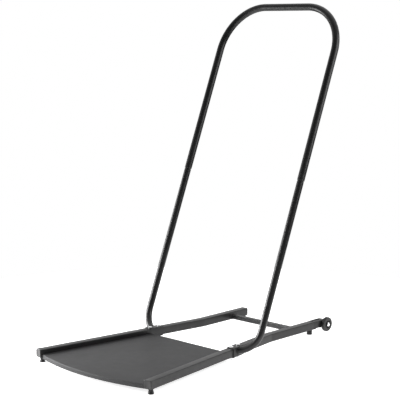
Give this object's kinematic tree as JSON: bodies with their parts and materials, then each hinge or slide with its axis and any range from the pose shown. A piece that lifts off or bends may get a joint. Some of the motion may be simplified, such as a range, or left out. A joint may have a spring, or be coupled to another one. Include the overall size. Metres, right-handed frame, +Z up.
{
  "type": "standing support frame",
  "caption": "Low foot plate between splayed square floor rails, with a tall leaning U-shaped grab handle, levelling feet and a small transport wheel.",
  "frame": {"origin": "on the floor at the centre of the object's box: midway between the legs, and midway between the foot plate's curved front edge and the rear of the wheel", "axes": "+Z up, +Y to the rear (towards the wheel), +X to the right, the side with the wheel"},
  "size_m": [0.501, 0.9384, 1.069],
  "materials": {
    "frame": "fine textured powder coat, satin",
    "plate": "dark grey powder coat, satin",
    "plastic": "moulded, matte",
    "rubber": "matte",
    "tyre": "satin",
    "zinc": "bright zinc plate"
  },
  "bodies": {
    "frame": {"right_rail": "frame", "left_rail": "frame", "cross_tube": "frame", "foot_plate": "plate", "right_leg": "frame", "left_leg": "frame", "right_leg_bracket": "frame", "left_leg_bracket": "frame", "clamp_bolts": "zinc", "clamp_washers": "zinc", "clamp_nuts": "zinc", "handle_top": "frame", "right_snap_spring": "zinc", "left_snap_spring": "zinc", "right_front_cap": "plastic", "left_front_cap": "plastic", "left_rear_cap": "plastic", "right_foot_insert": "zinc", "left_foot_insert": "zinc", "right_rear_foot": "rubber", "left_rear_foot": "rubber", "rear_foot_screws": "zinc", "wheel_bracket": "plastic", "axle_bolt": "zinc", "axle_washers": "zinc", "axle_nut": "zinc"},
    "right_front_foot": {"right_foot_stud": "plastic", "right_foot_pad": "plastic"},
    "left_front_foot": {"left_foot_stud": "plastic", "left_foot_pad": "plastic"},
    "wheel": {"wheel_hub": "plastic", "wheel_tyre": "tyre"},
    "right_button": {"right_snap_button": "zinc"},
    "left_button": {"left_snap_button": "zinc"}
  },
  "joints": [
    {"name": "wheel_spin", "type": "hinge", "parent": "frame", "child": "wheel", "pos_m": [0.1649, 0.44575, 0.026], "axis": [1, 0, 0], "continuous": true},
    {"name": "right_foot_screw", "type": "slide", "parent": "frame", "child": "right_front_foot", "axis": [0, 0, 1], "range_m": [-0.006, 0.003]},
    {"name": "left_foot_screw", "type": "slide", "parent": "frame", "child": "left_front_foot", "axis": [0, 0, 1], "range_m": [-0.006, 0.003]},
    {"name": "right_button_press", "type": "slide", "parent": "frame", "child": "right_button", "axis": [0, -0.9265, 0.3762], "range_m": [0, 0.003], "stiffness_N_per_m": 600, "springref_m": -0.005, "deforming": ["right_snap_spring"]},
    {"name": "left_button_press", "type": "slide", "parent": "frame", "child": "left_button", "axis": [0, -0.9265, 0.3762], "range_m": [0, 0.003], "stiffness_N_per_m": 600, "springref_m": -0.005, "deforming": ["left_snap_spring"]}
  ]
}
